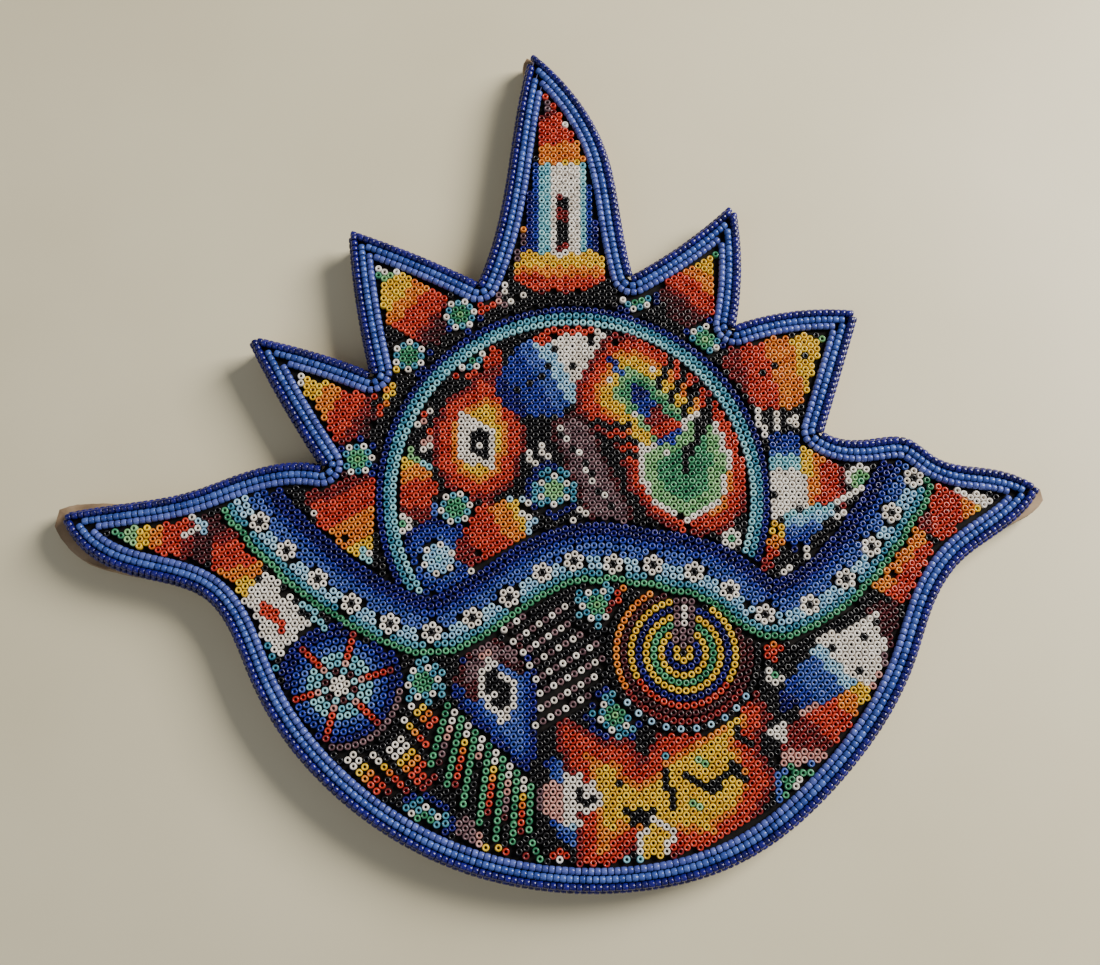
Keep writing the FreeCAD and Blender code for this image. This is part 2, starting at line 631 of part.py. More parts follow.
def paint_rainbow_beast(tray, area):
    beast = [(9, 44), (18, 44.5), (27, 40), (37, 28), (44, 19), (46, 6), (44, -4), (37, -9),
             (27.5, -10.5),
             (20, -5), (14, 3), (12.5, 11), (3, 21), (0, 26), (2, 33)]
    paint_nested(tray, area, beast, ["dark_red", "red", "red", "orange", "yellow", "yellow",
                                     "light_green",
                                     "green"])
    body = [(17.5, 14), (22, 16), (27, 19), (33, 24), (38, 20), (41, 10), (38, -2), (29, -6), (20.5, -2),
            (16.5, 6)]
    paint_nested(tray, area, body, ["white", "light_green", "light_green", "green"])
    paint_patch(tray, area, [(14.5, 29), (17, 31), (28, 19), (26, 14), (22, 15)],
                ["navy", "royal", "dark_red", "red", "royal"], (16, 29), (27, 14))
    for k in range(4):
        x, y = 27 + 3.1 * k, 38.5 - 3.9 * k
        paint_line(tray, area, [(x, y), (x - 4.5, y - 8)], ["black"])
    for k in range(3):
        y = 20 - 4 * k
        paint_line(tray, area, [(3.5 + 4 * k, y), (15 + k, y - 1)], ["black"])
    paint_line(tray, area, [(36, 26), (34, 18), (30, 14), (28.6, 7)], ["black"])
    paint_line(tray, area, [(9.9, 37.7), (13.2, 32.8)], ["navy", "blue"])
    paint_dots(tray, area, "white", [(10, 32), (20, 34.5), (16, 22), (24, 12)])


# ---------------------------------------------------------------------------------------
# motifs of the bowl and the two horns
# ---------------------------------------------------------------------------------------

def lay_bowl_motifs(tray):
    """The motifs whose beads follow lines of their own are laid before the rest is filled."""
    area = "bowl"
    lay_spiral(tray, area, (27.3, -39.1))
    lay_wheel(tray, area, (-58, -47.2))
    lay_flower(tray, (-37.4, -46.3), ("green", "green", "steel"), area, 0.2)
    lay_flower(tray, (-36.5, -79.9), ("light_green", "green", "steel"), area, 0.4)
    lay_flower(tray, (5.9, -27.1), ("light_green", "green", "steel"), area, 0.1)
    lay_flower(tray, (10.1, -54.3), ("light_green", "green", "steel"), area, 0.3)
    lay_flower(tray, (55.8, -71.3), ("yellow", "white", "green"), area, 0.0, petals="green")
    lay_comb(tray, area)
    lay_fire_bands(tray, area)
    lay_dotted_grid(tray, area)


def lay_spiral(tray, area, middle):
    """Rings of one colour round a middle bead, warm rings between dark ones."""
    rings = ["yellow", "navy", "yellow", "green", "yellow", "navy", "yellow", "maroon", "orange",
             "black"]
    place(tray, *middle, "black", area)
    for k, colour in enumerate(rings, 1):
        radius = k * BEAD_PITCH
        count = int(2 * math.pi * radius / BEAD_PITCH)
        for i in range(count):
            a = 2 * math.pi * (i + 0.5 * (k % 2)) / count
            x, y = middle[0] + radius * math.cos(a), middle[1] + radius * math.sin(a)
            shade = colour
            if math.sin(a) < -0.5:
                shade = {7: "red", 9: "dark_red", 10: ("sky", "black")[i % 2]}.get(k, colour)
            elif k == 9 and math.cos(a) > 0.3:
                shade = "maroon"
            place(tray, x, y, shade, area)


def lay_wheel(tray, area, middle):
    """A flower with six spokes; the rings between them run from turquoise out to navy."""
    rings = ["white", "maroon", "turquoise", "turquoise", "blue", "royal", "navy", "navy"]
    spokes = ["white", "turquoise", "pink", "red", "red", "red", "dark_red"]
    place(tray, *middle, "white", area)
    for k, colour in enumerate(rings, 1):
        radius = k * BEAD_PITCH
        count = 6 * k
        for i in range(count):
            a = 2 * math.pi * i / count + 0.3
            x, y = middle[0] + radius * math.cos(a), middle[1] + radius * math.sin(a)
            shade = spokes[k - 1] if k < len(rings) and i % k == 0 else colour
            if k == len(rings) and (x > middle[0] - BEAD_PITCH and y < middle[1]):
                shade = "mauve"
            place(tray, x, y, shade, area)


def lay_dotted_grid(tray, area):
    """Slanting rows that alternate light and black, with a black row between each pair."""
    rows = [((-17.4, -33.4), (-5, -24.6)), ((-15.1, -36.3), (-2.2, -27.6)), ((-12.6, -39),
                                                                             (-1.6, -32.0)),
            ((-11, -42.2), (1.6, -34.6)), ((-9.4, -45.6), (5.6, -36.9)), ((-8.4, -49), (7, -40.5)),
            ((-8.2, -52.6), (5, -45)), ((-9.5, -56.8), (3.5, -49.6))]
    for start, end in rows:
        lay_row(tray, [start, end], ["white", "mauve"], area)


def lay_comb(tray, area):
    """Side by side rows that hang from a slanting line: green rows, and rows that fade from white."""
    drops = [14, 12, 15.5, 14, 17, 12, 18, 14, 18.5, 12, 16, 12, 10]
    for k, drop in enumerate(drops):
        x, y = -31.2 + 1.72 * k, -52 - 1.62 * k
        lean = 3.8 - 0.28 * k
        ends = [(x, y), (x - lean, y - drop)]
        if k % 2 == 0:
            lay_row(tray, ends, ["green"], area)
        else:
            lay_shaded_row(tray, ends, WARM if k % 4 == 3 else ROSE, area)
    lay_row(tray, [(-10.9, -82.6), (-9.5, -86), (-7.3, -90)], ["green"], area)


def lay_fire_bands(tray, area):
    """Short slanting bands, one to three rows wide, that hang from the arc round the wheel."""
    bands = [((-39.5, -51.5), (-33.4, -57.6), 2), ((-41.8, -55.5), (-35, -62.8), 1),
             ((-43.9, -61.4), (-35.5, -70.4), 3), ((-49.2, -63.9), (-40.9, -72.3), 1),
             ((-55.4, -65.1), (-46.6, -73.9), 3)]
    for start, end, rows in bands:
        length = math.dist(start, end)
        across = ((start[1] - end[1]) / length, (end[0] - start[0]) / length)
        for row in range(rows):
            shift = (row - (rows - 1) / 2) * BEAD_PITCH
            dx, dy = across[0] * shift, across[1] * shift
            lay_shaded_row(tray, [(start[0] + dx, start[1] + dy), (end[0] + dx, end[1] + dy)],
                           WARM, area)


def paint_bowl(tray):
    area = "bowl"
    paint_horns(tray, area)
    paint_lower_left(tray, area)
    paint_eye_diamond(tray, area)
    for middle in ((-37.4, -46.3), (5.9, -27.1), (10.1, -54.3), (-36.5, -79.9)):
        paint_rings(tray, area, middle, [None, None, None, "steel"])
    paint_rings(tray, area, (10.1, -54.3), [None, None, None, None, "navy"])
    paint_rings(tray, area, (-36.5, -79.9), [None, None, None, None, "navy"])
    paint_rings(tray, area, (55.8, -71.3), [None, None, None, "green", "blue"])
    for x in (25.2, 27.3, 29.4):
        paint_line(tray, area, [(x, -23.5), (x, -36.5)], ["mauve", "white",
                                                          "mauve"] if x == 27.3 else ["mauve"])
    paint_line(tray, area, [(13, -22.6), (8.7, -28.6)], ["orange", "red", "dark_red"])
    paint_patch(tray, area, [(-28.4, -78.8), (-22.4, -78.8), (-22.2, -90), (-28.4, -88)],
                ["mauve", "mauve", "pink"], (-28, -79), (-22.2, -79))
    paint_line(tray, area, [(-21, -85.6), (-16.5, -86.2)], ["yellow", "orange", "red"])
    paint_line(tray, area, [(-20.6, -89), (-12, -90)], ["yellow", "orange", "red", "dark_red"])
    paint_fire_beast(tray, area)
    paint_right_petal(tray, area)


def paint_horns(tray, area):
    paint_patch(tray, area, [(-121, -7), (-100, -2), (-92, -4), (-90, -16), (-106, -16)],
                ["green", "light_green", "yellow", "orange", "red", "red", "dark_red", "maroon"],
                (-117, -8), (-93, -11))
    paint_dots(tray, area, "white", [(-97.4, -4.9), (-96.2, -6.7), (-96.6, -8.8), (-98.6, -9.1)])
    paint_dots(tray, area, "sky", [(-95.6, -4.9), (-94.4, -6.7), (-94.8, -8.6)])
    paint_patch(tray, area, [(93.5, 6), (110, -2.5), (96, -13), (87, -6)],
                ["dark_red", "red", "red", "orange", "yellow"], (88, -3), (107, -3))
    paint_line(tray, area, [(99, 2.6), (108, -2.1)], ["white"])
    paint_patch(tray, area, [(82, -6), (90, -9), (93, -20), (86, -28), (75, -23), (76, -14)],
                ["yellow", "orange", "orange", "red", "red", "dark_red"], (80, -12), (90, -20))
    paint_dots(tray, area, "black", [(81.8, -13.4)])


def paint_lower_left(tray, area):
    paint_patch(tray, area, [(-92, -4), (-84, -7), (-78, -16), (-84, -28), (-91, -24)],
                ["maroon", "dark_red", "red", "red", "orange", "yellow"], (-88, -5), (-84, -24))
    card = [(-76.8, -18.5), (-64.5, -33.5), (-72.5, -41), (-86, -28.4)]
    paint_nested(tray, area, card, ["white", "white", "white", "red", "orange", "black"])
    paint_line(tray, area, [(-75.5, -17.5), (-62.5, -32.5)], ["turquoise"])
    paint_line(tray, area, [(-84, -33), (-74.5, -43)], ["steel"])


def paint_eye_diamond(tray, area):
    whole = [(-30.5, -45.9), (-25.8, -37.6), (-20.8, -35.1), (-14.6, -37.6), (-8.8, -41.6),
             (-8.8, -56.2),
             (-10.8, -69.8), (-19.4, -61.4), (-29.5, -50.6)]
    upper = [(-29.7, -46.2), (-25.8, -37), (-20.8, -34.5), (-12.5, -37.5), (-12.2, -46), (-17, -42),
             (-22, -44), (-24.5, -51)]
    eye = [(-21.6, -39.5), (-14.2, -46.7), (-13.8, -50.5), (-16.9, -57.2), (-21.2, -52.6),
           (-24.6, -47.6)]
    paint_nested(tray, area, whole, ["navy", "royal", "blue", "blue", "sky"])
    paint_nested(tray, area, upper, ["maroon", "mauve", "pink", "pink"])
    paint_nested(tray, area, eye, ["white", "black"])
    paint_dots(tray, area, "white", [(-19.3, -48.4)])


def paint_fire_beast(tray, area):
    beast = [(-5, -59), (-3.4, -54.5), (6, -60), (14, -60), (16.5, -65), (19.5, -60), (30, -54),
             (43.5, -45),
             (48.5, -55), (45, -61.6), (49.5, -69.9), (43, -81), (34, -88), (25, -87), (18.3, -93),
             (14, -86),
             (12.9, -90), (6.8, -93), (0, -90), (1, -82), (-2.2, -66)]
    paint_nested(tray, area, beast, ["dark_red", "red", "red", "orange", "yellow"], 1.7)
    paint_nested(tray, area, [(18, -77.5), (24.5, -81.5), (22.5, -90), (18.3, -95), (14.5, -90),
                              (15.5, -82)],
                 ["white", "yellow"])
    paint_patch(tray, area, [(12, -88), (25, -88), (25, -96), (12, -96)], ["turquoise", "sky"],
                (14, -90), (22, -90))
    paint_line(tray, area, [(13, -77.5), (19, -77.5)], ["black"])
    paint_line(tray, area, [(14, -79.4), (17, -80)], ["black"])
    paint_line(tray, area, [(21.9, -67.3), (24.1, -76.5)], ["black"])
    paint_line(tray, area, [(27.2, -69.5), (34.4, -71.8), (39.2, -66.6), (40.8, -69.5)], ["black"])
    paint_line(tray, area, [(40, -57.6), (40.7, -60)], ["black"])
    paint_dots(tray, area, "black", [(11.6, -70.6), (43, -61.6), (41, -61)])
    paint_dots(tray, area, "light_green", [(30.5, -64.7), (32.4, -65.2), (29.5, -75.6), (31.2, -76.3)])
    paint_dots(tray, area, "steel", [(22.9, -64.2)])
    paint_patch(tray, area, [(-12.5, -75.1), (-3, -68), (3, -68.5), (-2, -75), (2, -80), (-3, -80.5)],
                ["mauve", "mauve", "pink", "pink", "white"], (-12, -75), (0, -75))
    paint_rings(tray, area, (2.4, -74), ["white", "black", "white"])
    paint_patch(tray, area, [(-8, -64.5), (-3, -64.5), (-2, -70), (-6, -70)],
                ["blue", "royal", "navy"], (-3, -67), (-8, -65))
    paint_patch(tray, area, [(-5.5, -79.5), (1, -81), (0.5, -86), (-4, -84)],
                ["sky", "blue", "royal", "navy"], (0, -81), (-4, -85))
    paint_rings(tray, area, (-3.2, -88), ["white", "red"])


def paint_right_petal(tray, area):
    paint_patch(tray, area, [(76, -26), (82, -27), (82, -38), (76, -52), (66, -64), (50, -67),
                             (50, -62)],
                ["maroon", "mauve", "pink"], (84, -40), (72, -46))
    paint_patch(tray, area, [(76, -28), (78, -38), (74, -47), (70, -47), (62, -40), (61, -36)],
                ["white"], (76, -28), (62, -40))
    paint_patch(tray, area, [(61, -36), (70, -47), (62, -51), (50, -54), (50, -50)],
                ["sky", "blue", "blue", "royal", "navy"], (66, -41), (52, -53))
    paint_patch(tray, area, [(70, -46), (74, -48), (71, -58), (62, -63), (51, -63), (51, -58),
                             (60, -52)],
                ["yellow", "orange", "red", "red", "dark_red", "dark_red"], (72, -47), (54, -63))
    paint_dots(tray, area, "black", [(75.1, -32.1), (72.9, -35.1), (65.3, -37.8), (71.2, -43.2)])
    paint_patch(tray, area, [(46.5, -36.5), (52.5, -36.5), (51, -41), (47, -41)], ["orange", "red",
                                                                                   "red"],
                (49, -36), (49, -41))
    paint_rings(tray, area, (49.6, -45), ["green", "white"])
    paint_rings(tray, area, (50.2, -58.5), ["green", "white"])


# ---------------------------------------------------------------------------------------
# the solid pieces
# ---------------------------------------------------------------------------------------

def lay_all():
    tray = Tray()
    lay_wave(tray)
    lay_ring(tray)
    lay_ray_flowers(tray)
    lay_disc_flowers(tray)
    lay_bowl_motifs(tray)
    fill(tray, "rays", FIELD_BOX, math.pi / 2)
    fill(tray, "disc", (-50, -50, 50, 50), math.pi / 2)
    fill(tray, "bowl", FIELD_BOX, math.pi / 6)
    for area in ("rays", "disc", "bowl", "wave"):
        plug_gaps(tray, area, FIELD_BOX)
    paint_rays(tray)
    paint_disc(tray)
    paint_bowl(tray)
    return tray


# ---------------------------------------------------------------------------------------
# writing the pieces
# ---------------------------------------------------------------------------------------

def standing_bead():
    tube = Part.makeCylinder(BEAD_OD / 2, BEAD_LENGTH)
    return tube.cut(Part.makeCylinder(BEAD_HOLE / 2, BEAD_LENGTH))


def lying_bead():
    """A bead whose hole runs along X, centred on the origin."""
    bead = standing_bead()
    bead.translate(FreeCAD.Vector(0, 0, -BEAD_LENGTH / 2))
    bead.rotate(FreeCAD.Vector(0, 0, 0), FreeCAD.Vector(0, 1, 0), 90)
    return bead


def redrawn(wire):
    """The sides of an inset outline, each drawn again as one smooth curve."""
    sides = []
    for side in wire.Edges:
        curve = Part.BSplineCurve()
        curve.interpolate(side.discretize(Number=max(3, int(side.Length / CURVE_STEP))))
        sides.append(curve.toShape())
    return sides


def slab(wire, bottom, height):
    edge = Part.Wire(Part.__sortEdges__(redrawn(wire)))
    plate = Part.Face(edge).extrude(FreeCAD.Vector(0, 0, height))
    plate.translate(FreeCAD.Vector(0, 0, bottom))
    return plate


def thread(distance, height):
    """The thread through one string of beads, square in section, a little inside the outline."""
    half = THREAD_DIA / 2
    whole = slab(inset(distance - half), height - half, THREAD_DIA)
    return whole.cut(slab(inset(distance + half), height - half, THREAD_DIA)).Solids[0]


def write(name, solids, shift):
    piece = solids[0] if len(solids) == 1 else Part.makeCompound(solids)
    piece.translate(shift)
    piece.exportStep("parts/" + name + ".step")


def write_standing(tray, shift):
    """One file for each colour of each area."""
    pattern = standing_bead()
    groups = {}
    for bead in tray.beads:
        groups.setdefault((NODE_AREA[bead.area], bead.colour), []).append(bead)
    for (area, colour), beads in sorted(groups.items()):
        solids = [pattern.translated(FreeCAD.Vector(b.x, b.y, WAX_TOP)) for b in beads]
        write(area + "_" + colour + "_beads", solids, shift)


def write_strung(name, row, height, shift):
    pattern = lying_bead()
    solids = []
    for b in row:
        bead = pattern.rotated(FreeCAD.Vector(0, 0, 0), FreeCAD.Vector(0, 0, 1), math.degrees(b.heading))
        bead.translate(FreeCAD.Vector(b.x, b.y, height))
        solids.append(bead)
    write(name, solids, shift)


NODE_AREA = {"rays": "rays", "disc": "sun", "ring": "sun", "bowl": "bowl", "wave": "bowl"}


def main():
    tray = lay_all()
    side_wire = inset(SIDE_INSET)
    box = side_wire.BoundBox
    shift = FreeCAD.Vector(-(box.XMin + box.XMax) / 2, -(box.YMin + box.YMax) / 2, 0)
    edge = inset(BOARD_INSET)
    write("wood_board", [slab(edge, 0, BOARD_THICK)], shift)
    write("beeswax_layer", [slab(edge, BOARD_THICK, WAX_THICK)], shift)
    write_strung("rim_side_navy_beads", string_of_beads(side_wire), SIDE_Z, shift)
    threads = [thread(SIDE_INSET, SIDE_Z)]
    for colour, distance in FACE_INSETS.items():
        write_strung("rim_" + colour + "_beads", string_of_beads(inset(distance)), STRUNG_Z, shift)
        threads.append(thread(distance, STRUNG_Z))
    write("rim_threads", threads, shift)
    write_standing(tray, shift)


main()
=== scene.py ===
import math

import bpy
import numpy as np
from mathutils import Matrix, Vector, kdtree


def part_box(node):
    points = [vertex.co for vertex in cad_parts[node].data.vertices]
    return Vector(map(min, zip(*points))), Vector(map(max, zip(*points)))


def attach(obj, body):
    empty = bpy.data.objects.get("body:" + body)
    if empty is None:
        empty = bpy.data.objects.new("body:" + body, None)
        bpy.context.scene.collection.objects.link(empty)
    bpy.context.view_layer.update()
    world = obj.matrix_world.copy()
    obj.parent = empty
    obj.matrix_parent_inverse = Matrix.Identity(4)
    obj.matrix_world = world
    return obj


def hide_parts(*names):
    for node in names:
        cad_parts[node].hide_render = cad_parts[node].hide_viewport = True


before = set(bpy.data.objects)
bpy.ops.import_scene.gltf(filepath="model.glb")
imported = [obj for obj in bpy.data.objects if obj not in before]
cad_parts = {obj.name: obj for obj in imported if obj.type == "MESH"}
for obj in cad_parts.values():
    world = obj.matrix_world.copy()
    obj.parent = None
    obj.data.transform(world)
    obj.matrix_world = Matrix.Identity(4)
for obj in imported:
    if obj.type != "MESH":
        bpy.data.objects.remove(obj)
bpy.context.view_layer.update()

# A beaded sun plaque lying on a pale floor, in metres throughout. Every bead of the CAD part is found
# in its node and made again with rounded ends, a little tilt and its own shade of glass. The board and
# its wax are drawn again round their CAD outlines, with worn walls.

MM = 0.001
RNG = np.random.default_rng(11)

# ---- one bead ----
BEAD_RADIUS = 0.9 * MM
HOLE_RADIUS = 0.36 * MM
BEAD_LENGTH = 1.45 * MM
BEAD_SIDES = 14
PROFILE_POINTS = 9
ROUNDING = 0.72            # below 1 turns the ellipse of the section towards a rounded square

# ---- how much the beads differ: spreads of random draws ----
SIZE_SPREAD = 0.012        # of the whole bead, as a share
LENGTH_SPREAD = 0.05       # of its length alone, as a share
STRUNG_TILT = math.radians(3)
STANDING_TILT = math.radians(5)
STRUNG_WOBBLE = 0.03 * MM
STANDING_WOBBLE = 0.06 * MM

# ---- telling the faces of a bead apart ----
WALL_SHARE = 0.97          # a face with at least this share of the widest spread is an outer wall
SAME_MIDDLE = 0.3 * MM     # an end of a bead is further than this from the middle of its wall
FACES_TO_TRY = 6

# ---- board, wax and thread ----
LOOP_STEP = 0.8 * MM       # between the points round a drawn wall
SAME_HEIGHT = 0.01 * MM    # corners this near in height are level
POINT_DECIMALS = 6         # points that agree to a micrometre are one point
RIPPLE_POINTS = 9          # number of neighbours that a ripple in a wall is averaged over
GRIT_SHARE = 0.3           # fine grit in a wall, as a share of its ripple
BOARD_WEAR = 0.1 * MM
WAX_WEAR = 0.08 * MM
THREAD_RADIUS = 0.15 * MM
CLOSING_GAP = 10 * MM      # a string whose ends are nearer than this runs on round the rim

# Walls from the bottom up: (share of the thickness, outward shift, share of the bulge).
BOARD_WALL = [
    (0.0, 0.0, 0.7),
    (0.05, 0.5 * MM, 0.95),
    (0.4, 0.6 * MM, 1.0),
    (0.78, 0.4 * MM, 0.95),
    (0.84, 0.0, 0.2),
    (1.0, -0.3 * MM, 0.0),
]
WAX_WALL = [
    (0.0, 0.0, 0.0),
    (0.5, 0.3 * MM, 0.0),
    (1.0, -0.1 * MM, 0.0),
]

# ---- camera ----
CAMERA_TILT = math.radians(12)
CAMERA_DISTANCE = 0.300
CAMERA_SPAN = 0.282        # width that the picture takes in at the aim point
AIM = Vector((-0.0004, -0.0111, 0.0103))    # on top of the beads, a little below the middle

# ---- floor and sky ----
FLOOR_HALF = 6.0
SKY_COLOUR = (0.88, 0.9, 0.98, 1)
SKY_STRENGTH = 0.21


# ---------------------------------------------------------------------------------------
# finding the beads of a node
# ---------------------------------------------------------------------------------------

def node_faces(obj):
    """The separate faces of a CAD node, as (middle, spread) pairs. Each face has its own run of
    vertices, and no triangle joins two runs."""
    mesh = obj.data
    spots = np.empty(len(mesh.vertices) * 3)
    mesh.vertices.foreach_get("co", spots)
    spots = spots.reshape(-1, 3)
    mesh.calc_loop_triangles()
    triangles = np.empty(len(mesh.loop_triangles) * 3, dtype=np.int64)
    mesh.loop_triangles.foreach_get("vertices", triangles)
    triangles = triangles.reshape(-1, 3)
    reach = np.arange(len(spots))
    np.maximum.at(reach, triangles.min(axis=1), triangles.max(axis=1))
    furthest = np.maximum.accumulate(reach)
    ends = np.flatnonzero(furthest <= np.arange(len(spots)))
    starts = np.concatenate(([0], ends[:-1] + 1))
    found = []
    for first, last in zip(starts, ends):
        run = spots[first:last + 1]
        middle = (run.min(axis=0) + run.max(axis=0)) / 2
        spread = np.sqrt(((run - middle) ** 2).sum(axis=1).mean())
        found.append((middle, spread))
    return found


def find_beads(obj):
    """(middle, direction of the hole) of every bead in a node. The outer wall of a bead is the
    face that spreads furthest, and its middle is the middle of the bead. The nearest face with a
    middle of its own is an end of the bead, which lies along the hole."""
    faces = node_faces(obj)
    widest = max(spread for _, spread in faces)
    tree = kdtree.KDTree(len(faces))
    for index, (middle, _) in enumerate(faces):
        tree.insert(middle, index)
    tree.balance()
    beads = []
    for middle, spread in faces:
        if spread < WALL_SHARE * widest:
            continue
        axis = Vector((0, 0, 1))
        for spot, _, distance in tree.find_n(middle, FACES_TO_TRY):
            if distance > SAME_MIDDLE:
                axis = (spot - Vector(middle)).normalized()
                break
        beads.append((Vector(middle), axis))
    return beads


# ---------------------------------------------------------------------------------------
# bead meshes
# ---------------------------------------------------------------------------------------

def bead_profile():
    """(radius, height) points round the section of a bead: straight hole, well-rounded outside."""
    middle_radius = (BEAD_RADIUS + HOLE_RADIUS) / 2
    half_width = (BEAD_RADIUS - HOLE_RADIUS) / 2
    half_height = BEAD_LENGTH / 2
    points = []
    for k in range(PROFILE_POINTS):
        angle = 2 * math.pi * k / PROFILE_POINTS
        across = math.cos(angle)
        up = math.sin(angle)
        points.append((middle_radius + half_width * math.copysign(abs(across) ** ROUNDING, across),
                       half_height * math.copysign(abs(up) ** ROUNDING, up)))
    return points


def bead_pattern():
    """Vertices and quads of one bead standing along Z."""
    profile = bead_profile()
    spots = []
    quads = []
    for i in range(BEAD_SIDES):
        angle = 2 * math.pi * i / BEAD_SIDES
        for radius, height in profile:
            spots.append((radius * math.cos(angle), radius * math.sin(angle), height))
    for i in range(BEAD_SIDES):
        here = i * PROFILE_POINTS
        beside = (i + 1) % BEAD_SIDES * PROFILE_POINTS
        for k in range(PROFILE_POINTS):
            onward = (k + 1) % PROFILE_POINTS
            quads.append((here + k, beside + k, beside + onward, here + onward))
    return np.array(spots), np.array(quads)


PATTERN_SPOTS, PATTERN_QUADS = bead_pattern()


def bead_turn(axis, tilt):
    """A turn that takes Z to the axis, with a small random tilt and a random spin."""
    spin = Matrix.Rotation(RNG.uniform(0, 2 * math.pi), 3, "Z")
    lean = Matrix.Rotation(RNG.normal(0, tilt), 3, "X") @ Matrix.Rotation(RNG.normal(0, tilt), 3, "Y")
    return np.array(axis.to_track_quat("Z", "Y").to_matrix() @ lean @ spin)


def build_beads(name, beads, tilt, wobble):
    """One mesh holding every bead of a node. Each bead carries its own shade for the material.
    Tilt is an angle, and wobble the spread of a bead's height."""
    count = len(beads)
    size = len(PATTERN_SPOTS)
    spots = np.empty((count, size, 3))
    for index, (middle, axis) in enumerate(beads):
        growth = RNG.normal(1, SIZE_SPREAD)
        stretch = RNG.normal(1, LENGTH_SPREAD)
        lift = RNG.normal(0, wobble)
        scaled = PATTERN_SPOTS * np.array([growth, growth, growth * stretch])
        spots[index] = scaled @ bead_turn(axis, tilt).T + np.array(middle) + np.array([0, 0, lift])
    first_spots = np.arange(count) * size
    quads = (PATTERN_QUADS[None, :, :] + first_spots[:, None, None]).reshape(-1, 4)
    mesh = bpy.data.meshes.new(name)
    mesh.from_pydata(spots.reshape(-1, 3), [], quads)
    mesh.polygons.foreach_set("use_smooth", np.ones(len(quads), dtype=bool))
    shade = mesh.attributes.new("shade", "FLOAT", "POINT")
    shade.data.foreach_set("value", np.repeat(RNG.random(count), size).astype(np.float32))
    mesh.update()
    obj = bpy.data.objects.new(name, mesh)
    bpy.context.scene.collection.objects.link(obj)
    return obj


# ---------------------------------------------------------------------------------------
# materials
# ---------------------------------------------------------------------------------------

def new_material(name):
    """A material, with its nodes, its links and its main shader."""
    material = bpy.data.materials.new(name)
    material.use_nodes = True
    nodes = material.node_tree.nodes
    return material, nodes, material.node_tree.links, nodes["Principled BSDF"]


def noise(nodes, links, scale, detail=3.0):
    """Noise fixed to the object's own coordinates; the scale is in waves per metre."""
    place = nodes.new("ShaderNodeTexCoord")
    grain = nodes.new("ShaderNodeTexNoise")
    grain.inputs["Scale"].default_value = scale
    grain.inputs["Detail"].default_value = detail
    links.new(place.outputs["Object"], grain.inputs["Vector"])
    return grain


def ramp(nodes, links, source, stops):
    """A colour ramp read from a value; stops are (place, colour) pairs."""
    node = nodes.new("ShaderNodeValToRGB")
    node.color_ramp.elements[0].position = stops[0][0]
    node.color_ramp.elements[0].color = (*stops[0][1], 1)
    node.color_ramp.elements[1].position = stops[-1][0]
    node.color_ramp.elements[1].color = (*stops[-1][1], 1)
    for spot, colour in stops[1:-1]:
        node.color_ramp.elements.new(spot).color = (*colour, 1)
    links.new(source, node.inputs["Fac"])
    return node


def bump(nodes, links, source, shader, strength, depth):
    """Lets a value raise and sink the surface of a shader."""
    node = nodes.new("ShaderNodeBump")
    node.inputs["Strength"].default_value = strength
    node.inputs["Distance"].default_value = depth
    links.new(source, node.inputs["Height"])
    links.new(node.outputs["Normal"], shader.inputs["Normal"])


def glass(name, dark, light):
    """Opaque seed bead glass: each bead its own shade between two colours, faintly mottled."""
    material, nodes, links, shader = new_material(name)
    shade = nodes.new("ShaderNodeAttribute")
    shade.attribute_name = "shade"
    colour = ramp(nodes, links, shade.outputs["Fac"], [(0.0, dark), (0.85, light)])
    mottle = noise(nodes, links, scale=900)
    mix = nodes.new("ShaderNodeMix")
    mix.data_type = "RGBA"
    mix.blend_type = "MULTIPLY"
    mix.inputs["Factor"].default_value = 0.22
    links.new(colour.outputs["Color"], mix.inputs["A"])
    links.new(mottle.outputs["Fac"], mix.inputs["B"])
    links.new(mix.outputs["Result"], shader.inputs["Base Color"])
    rough = nodes.new("ShaderNodeMapRange")
    rough.inputs["To Min"].default_value = 0.12
    rough.inputs["To Max"].default_value = 0.34
    links.new(mottle.outputs["Fac"], rough.inputs["Value"])
    links.new(rough.outputs["Result"], shader.inputs["Roughness"])
    shader.inputs["Specular IOR Level"].default_value = 0.5
    bump(nodes, links, mottle.outputs["Fac"], shader, strength=0.12, depth=0.1 * MM)
    return material


def raw_wood():
    """Sawn edge and back of the board: brown, with a streaked grain."""
    material, nodes, links, shader = new_material("raw_wood")
    place = nodes.new("ShaderNodeTexCoord")
    stretch = nodes.new("ShaderNodeMapping")
    stretch.inputs["Scale"].default_value = (1.0, 1.0, 6.0)
    links.new(place.outputs["Object"], stretch.inputs["Vector"])
    grain = nodes.new("ShaderNodeTexNoise")
    grain.inputs["Scale"].default_value = 160
    grain.inputs["Detail"].default_value = 8
    links.new(stretch.outputs["Vector"], grain.inputs["Vector"])
    browns = [(0.3, (0.13, 0.08, 0.042)), (0.5, (0.25, 0.165, 0.09)), (0.75, (0.38, 0.27, 0.165))]
    colour = ramp(nodes, links, grain.outputs["Fac"], browns)
    links.new(colour.outputs["Color"], shader.inputs["Base Color"])
    shader.inputs["Roughness"].default_value = 0.8
    bump(nodes, links, grain.outputs["Fac"], shader, strength=0.6, depth=0.4 * MM)
    return material


